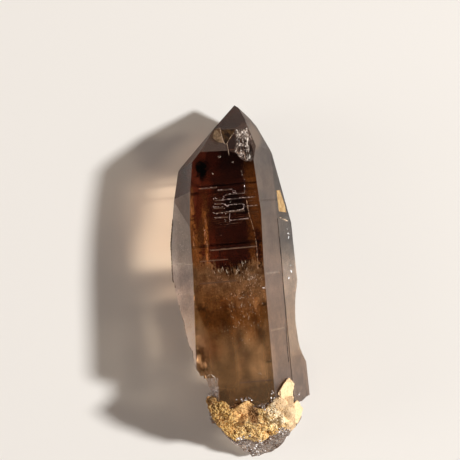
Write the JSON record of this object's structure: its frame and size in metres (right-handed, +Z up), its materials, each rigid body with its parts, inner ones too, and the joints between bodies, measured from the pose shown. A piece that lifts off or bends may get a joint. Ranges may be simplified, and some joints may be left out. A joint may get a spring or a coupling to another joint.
{
  "type": "lemurian quartz crystal",
  "caption": "Smoky quartz point with stepped growth lines, lying on a prism face, its broken foot crusted with ochre clay.",
  "frame": {"origin": "on the surface the crystal lies on, under the middle of the whole object", "axes": "+Y along the crystal from its broken foot to its tip, +Z up, +X to the right seen from the foot"},
  "size_m": [0.0318, 0.0892, 0.0196],
  "materials": {
    "smoky_quartz": "polished",
    "ochre_clay": "matte"
  },
  "bodies": {
    "root": {"crystal": "smoky_quartz", "clay_crust": "ochre_clay"}
  },
  "joints": []
}
